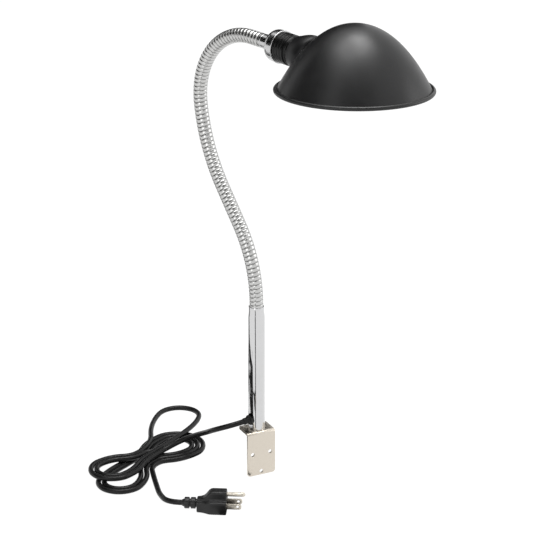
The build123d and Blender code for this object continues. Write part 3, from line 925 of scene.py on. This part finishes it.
def bulbCap():
    foot, end, wall = bulb["foot"], bulb["foot"] + bulb["capLong"], bulb["wall"]
    outer, start = bulb["capRadius"], foot + bulb["threadStart"]
    valley = outer - bulb["threadDeep"]
    profile = [(bulb["contactHole"], foot), (outer - 4, foot + 0.3), (valley, start)]
    pitch = (bulb["capLong"] - bulb["threadStart"] - bulb["threadStop"]) / bulb["threads"]
    for index in range(bulb["threads"]):
        low = start + index * pitch
        profile += [(outer, low + pitch * 0.4), (outer, low + pitch * 0.6),
                    (valley, low + pitch)]
    profile.append((outer - 0.4, end))
    inner = [(radius - wall, height + (wall if height < foot + 1 else 0))
             for radius, height in reversed(profile)]
    return lathe(profile + inner, 72, closed=True)


def addBulb():
    place = headFrame()
    for name, form, slotName, node in (
            ("bulbGlass", bulbGlass(), "bulb_glass", "bulb_glass"),
            ("bulbCap", bulbCap(), "shell_aluminium", "bulb_cap")):
        settle(asObject(name, form, [finishes[slotName]], place, smooth=45), "head",
               [node])


addBulb()
print("bulb blown")


# Shade and its collar

shade = {
    "base": 78.6,
    "high": 66.8,
    "side": (0.70, 0.67),  # shares of base and height that pull the dome's line
    "crown": 0.37,
    "sheet": 0.9,
    "bead": 2.2,
    "beadOut": 1.1,
    "reach": 142.9,
    "rimUp": 448.9,
    "collar": 22.0,
    "collarWall": 0.7,
    "collarFront": 17.2,
    "collarPlate": 1.2,
    "collarEdge": 0.5,
    "collarFlare": 17.8,
    "flareStart": (0.14, 0.24),  # shares of growth and length that pull the flare's line
    "flareEnd": (0.89, 0.55),
    "collarLong": 39.3,
    "throat": 15.4,
    "hole": 17.0,
    "cutIn": 0.3,  # how deep the collar's end goes into the dome's skin
}


def shadeFrame():  # on the rim's centre, Z up through the crown
    foot = stem["foot"].copy()
    foot.z = shade["rimUp"]
    place = foot + heading(neck["heading"]) * shade["reach"]
    return axes(heading(neck["heading"] + 90), Vector((0, 0, 1)), place)


def domeLine(base, high, count=44):  # from the rim to the crown
    side, rise = shade["side"]
    return pulled([(base, 0), (base * side, high * rise), (base * shade["crown"], high),
                   (0, high)], count)


def shadeForm():
    sheet, base, high = shade["sheet"], shade["base"], shade["high"]
    inner = domeLine(base - sheet, high - sheet)[::-1]
    rolled = arc((base + shade["beadOut"], 0), shade["bead"], 208, 503, 26)
    outer = domeLine(base, high)[2:]
    bm = lathe(inner + rolled + outer, 144)
    for face in bm.faces:  # white enamel on the side that looks down and in
        centre = face.calc_center_median() / mm
        if centre.z > 0.2 and centre.xy.length < base - 0.4:
            face.material_index = 1 if face.normal.z < 0 else 0
    return bm


def collarForm():  # a flat front with a rounded edge that flares into the dome's side
    low, far, wall = head["stepEnd"], head["stepEnd"] + shade["collarLong"], shade["collarWall"]
    front, grows = shade["collarFront"], shade["collar"] - shade["collarFront"]
    flare = pulled([(front + grows * share, low + shade["collarFlare"] * along) for share, along
                    in ((0, 0), shade["flareStart"], shade["flareEnd"], (1, 1))], 16)
    plate, edge = low + shade["collarPlate"], shade["collarEdge"]
    skin = [(radius - wall, height) for radius, height in flare if height > plate]
    profile = [(shade["throat"], low), (front - edge, low)]
    profile += arc((front - edge, low + edge), edge, -60, -15, 3) + flare[1:]
    profile += [(shade["collar"], far), (shade["collar"] - wall, far)] + skin[::-1]
    profile += [(skin[0][0], plate), (shade["throat"], plate)]
    return lathe(profile, 112, closed=True)


def domeCutter():
    sunk = shade["cutIn"]
    bm = lathe([(0, 0)] + domeLine(shade["base"] - sunk, shade["high"] - sunk), 96)
    return asObject("domeCutter", bm, [], shadeFrame())


def addShade():
    paint = finishes["shade_black"]
    dome = asObject("shadeDome", shadeForm(), [paint, enamel], shadeFrame(), smooth=40)
    low, high = head["capEnd"], head["stepEnd"] + shade["collarLong"]
    carve(dome, cylinderCutter("wayIn", shade["hole"], low, high, headFrame()))
    settle(dome, "shade", ["shade"])
    # the collar takes the less shiny copy of the paint, which paints the dome's shade on it
    collar = asObject("shadeCollar", collarForm(), [shadedCollarPaint], headFrame(), smooth=40)
    carve(collar, domeCutter())
    settle(collar, "shade", ["shade_collar"])


addShade()
print("shade spun")


# Plug, along +Z from its cord end, with +X up to the ground pin

plug = {
    "reliefLong": 17.0,
    "tip": 3.6,
    "core": 4.6,
    "ring": 6.4,
    "rings": 2,
    "tipLong": 3.0,
    "notch": 1.5,
    "bladeUp": 8.6,
    "long": 33.0,
    "half": 12.5,
    "hump": 6.5,
    "shoulder": 6.5,
    "top": 16.7,
    "back": 6.5,
    "backHalf": 8.8,
    "backLow": 7.4,
    "backShoulder": 4.0,
    "backHump": 4.6,
    "backRound": 1.6,
    "moreRound": 1.4,
    "humpRise": 1.5,
    # length from the body's back, how far it has grown to full size, and its edge in
    "growth": [(0, 0.0, 0.5), (0.5, 0.02, 0), (4, 0.12, 0), (7.5, 0.30, 0), (9.5, 0.48, 0),
               (11.5, 0.70, 0), (13.5, 0.88, 0), (15.5, 0.97, 0), (17.5, 1.0, 0),
               (24, 1.0, 0)],
    "faceEdge": [(-1.2, 0), (-0.35, 0.25), (0, 1.0)],  # length short of the face, and edge in
    "bladeEdge": 0.15,
}


def plugFrame():
    way = heading(cord["plugHeading"])
    return axes(Vector((0, 0, 1)), way, cord["plugFace"] - way * cord["plugLong"])


def reliefForm():
    spacing = (plug["reliefLong"] - plug["tipLong"]) / plug["rings"]
    profile = [(0, 0), (plug["tip"] - 0.4, 0), (plug["tip"], 0.4),
               (plug["core"], plug["tipLong"])]
    for index in range(plug["rings"]):
        low = plug["tipLong"] + index * spacing
        high = low + spacing - plug["notch"]
        profile += arc((plug["ring"] - 0.8, low + 0.8), 0.8, -90, 0, 4)
        profile += arc((plug["ring"] - 0.6, high - 0.6), 0.6, 0, 90, 4)
        profile += [(plug["core"], high + 0.2), (plug["core"], high + plug["notch"])]
    profile.append((0, plug["reliefLong"]))
    return lathe(profile, 56)


def plugSection(half, hump, low, shoulder, top, soft):  # a block with a hump, corners rounded
    corners = [(-low, -half), (shoulder, -half), (shoulder, -hump), (top, -hump),
               (top, hump), (shoulder, hump), (shoulder, half), (-low, half)]
    points = []
    for index, corner in enumerate(corners):
        here = Vector(corner)
        before, after = Vector(corners[index - 1]), Vector(corners[(index + 1) % 8])
        reach = min(soft, (before - here).length * 0.48, (after - here).length * 0.48)
        start = here + (before - here).normalized() * reach
        end = here + (after - here).normalized() * reach
        for step in range(6):
            share = step / 5
            points.append(start * (1 - share) ** 2 + here * 2 * share * (1 - share)
                          + end * share ** 2)
    return points


def plugForm():
    bm = bmesh.new()
    rings = []
    stations = plug["growth"] + [
        (plug["long"] + short, 1.0, inset) for short, inset in plug["faceEdge"]]
    for along, grown, inset in stations:
        def size(small, full, share=grown, less=inset):
            return plug[small] + (plug[full] - plug[small]) * share - less
        top = size("back", "top", grown ** plug["humpRise"])  # rises later than the sides widen
        shoulder = min(size("backShoulder", "shoulder"), top - 0.6)
        section = plugSection(size("backHalf", "half"), size("backHump", "hump"),
                              size("backLow", "bladeUp"), shoulder, top,
                              plug["backRound"] + plug["moreRound"] * grown)
        height = plug["reliefLong"] + along
        rings.append([bm.verts.new((x * mm, y * mm, height * mm)) for x, y in section])
    edges = [[bm.edges.new(pair) for pair in zip(ring, ring[1:] + ring[:1])] for ring in rings]
    for lower, upper in zip(edges, edges[1:]):
        bmesh.ops.bridge_loops(bm, edges=lower + upper)
    bmesh.ops.holes_fill(bm, edges=edges[0] + edges[-1], sides=len(rings[0]))
    bmesh.ops.recalc_face_normals(bm, faces=bm.faces)
    return bm


def addPlug():
    place = plugFrame()
    made = []
    for name, form, slotName, node in (
            ("plugRelief", reliefForm(), "plug_vinyl", "plug_strain_relief"),
            ("plugMoulding", plugForm(), "plug_vinyl", "plug_body")):
        made.append(settle(asObject(name, form, [finishes[slotName]], place, smooth=38), "stem",
                           [node]))
    for name, node in (("plugBlades", "plug_blades"), ("groundPin", "plug_ground_pin")):
        form = soften(cadCopy(node), plug["bladeEdge"], 40)
        piece = asObject(name, form, [finishes["blade_nickel"]], smooth=40)
        made.append(settle(piece, "stem", [node]))
    return made


plugPieces = addPlug()
cordPoints()[0] * mm
print("plug and cord joined")


# CAD nodes that stay, with their finishes

for part in frame["record"]["subparts"]:
    node = frame["nodes"][part["node"]]
    if not node.hide_render:
        node.material_slots[0].material = finishes[part["material_slot"]]


# Studio: pale floor, soft lamps, and cards that only show in polished metal

studio = {
    "floor": -27.0,
    "floorSize": 12.0,
    "lamps": [
        # name, place in metres, size in metres, watts
        ("topLamp", (0.1, 0.0, 2.3), 1.2, 18),
        ("rightLamp", (2.2, -0.9, 0.9), 1.2, 8),
        ("leftLamp", (-1.9, -1.6, 0.7), 1.2, 6),
    ],
    "aim": (0, 0, 0.25),
    "cards": [
        # heading and height of the card's middle in degrees, width and height in metres
        (152, 34, 2.6, 2.2),
        (80, 26, 2.2, 2.0),
        (-112, 44, 1.8, 1.4),
    ],
    "cardFar": 2.4,
    "strips": [(126, 9), (-131, 5)],  # dark strips out along the floor, heading and spread
    "stripNear": 0.02,
    "stripFar": 1.6,
    "stripRise": 0.4,  # over the floor, in millimetres
    "softbox": ((0.12, 0.05, 2.3), 1.7, 1.2, 5.5),  # place, width, depth, glow
    "floorGlow": 1.2,
    "floorGlowShare": 0.8,
    "worldLight": 0.42,
}


def floorMaterial():  # near white to the camera, and it still takes the shadow
    material = bpy.data.materials.new("paleFloor")
    material.use_nodes = True
    material.node_tree.nodes.clear()
    rays = addNode(material, "ShaderNodeLightPath").outputs
    seen = addNode(material, "ShaderNodeMath", {
        0: rays["Is Camera Ray"], 1: rays["Is Glossy Ray"]}, operation="MAXIMUM").outputs[0]
    lit = addNode(material, "ShaderNodeMath", {0: seen, 1: studio["floorGlowShare"]},
                  operation="MULTIPLY").outputs[0]
    matt = addNode(material, "ShaderNodeBsdfDiffuse", {"Color": (0.86, 0.86, 0.86, 1)})
    glow = addNode(material, "ShaderNodeEmission", {
        "Color": (1, 1, 1, 1), "Strength": studio["floorGlow"]})
    mix = addNode(material, "ShaderNodeMixShader", {
        0: lit, 1: matt.outputs[0], 2: glow.outputs[0]})
    addNode(material, "ShaderNodeOutputMaterial", {"Surface": mix.outputs[0]})
    return material


def setWorld():
    world = bpy.data.worlds.new("studio")
    bpy.context.scene.world = world
    world.use_nodes = True
    world.node_tree.nodes.clear()
    rays = addNode(world, "ShaderNodeLightPath").outputs
    seen = rays["Is Camera Ray"]
    for kind in ("Is Glossy Ray", "Is Transmission Ray"):
        seen = addNode(world, "ShaderNodeMath", {0: seen, 1: rays[kind]},
                       operation="MAXIMUM").outputs[0]
    strength = addNode(world, "ShaderNodeMapRange", {
        "Value": seen, "To Min": studio["worldLight"], "To Max": 1.0})
    back = addNode(world, "ShaderNodeBackground", {
        "Color": (1, 1, 1, 1), "Strength": strength.outputs["Result"]})
    addNode(world, "ShaderNodeOutputWorld", {"Surface": back.outputs[0]})


def facing(place, aim):  # turned so that -Z looks from a place to the aim
    return (Vector(aim) - Vector(place)).to_track_quat("-Z", "Y").to_matrix().to_4x4()


def addFloor():
    bm = bmesh.new()
    bmesh.ops.create_grid(bm, x_segments=1, y_segments=1, size=studio["floorSize"] / 2)
    place = Matrix.Translation((0, 0, studio["floor"] * mm))
    floor = asObject("floor", bm, [floorMaterial()], place)


def addLamps():
    for name, place, size, power in studio["lamps"]:
        data = bpy.data.lights.new(name, "AREA")
        data.shape = "DISK"
        data.size = size
        data.energy = power
        lamp = linked(name, data)
        lamp.matrix_world = Matrix.Translation(place) @ facing(place, studio["aim"])


def glossyOnly(name, bm, material, place=None):  # shows in polished metal and nowhere else
    card = asObject(name, bm, [material], place)
    card.visible_camera = False
    card.visible_diffuse = False
    card.visible_shadow = False
    card.visible_transmission = False


def glowing(name, strength):
    material = bpy.data.materials.new(name)
    material.use_nodes = True
    material.node_tree.nodes.clear()
    glow = addNode(material, "ShaderNodeEmission", {"Strength": strength})
    addNode(material, "ShaderNodeOutputMaterial", {"Surface": glow.outputs[0]})
    return material


def panel(wide, deep):
    bm = bmesh.new()
    bmesh.ops.create_grid(bm, x_segments=1, y_segments=1, size=0.5)
    bmesh.ops.scale(bm, vec=(wide, deep, 1), verts=bm.verts)
    return bm


def addCards():
    black = glowing("cardBlack", 0.0)
    for index, (turn, rise, wide, tall) in enumerate(studio["cards"]):
        up = math.radians(rise)
        away = heading(turn) * math.cos(up) + Vector((0, 0, math.sin(up)))
        place = Vector(studio["aim"]) + away * studio["cardFar"]
        turned = Matrix.Translation(place) @ facing(place, studio["aim"])
        glossyOnly(f"card{index + 1}", panel(wide, tall), black, turned)
    for index, (turn, spread) in enumerate(studio["strips"]):
        bm = bmesh.new()
        low = (studio["floor"] + studio["stripRise"]) * mm
        near = Vector((stem["foot"].x * mm, stem["foot"].y * mm, low))
        inner, outer = studio["stripNear"], studio["stripFar"]
        corners = [near + heading(turn + side) * reach for side, reach in (
            (-spread, inner), (spread, inner), (spread, outer), (-spread, outer))]
        bmesh.ops.contextual_create(bm, geom=[bm.verts.new(corner) for corner in corners])
        glossyOnly(f"strip{index + 1}", bm, black)
    place, wide, deep, strength = studio["softbox"]
    glossyOnly("softbox", panel(wide, deep), glowing("softboxWhite", strength),
               Matrix.Translation(place))


setWorld()
addFloor()
addLamps()
addCards()
print("studio lit")
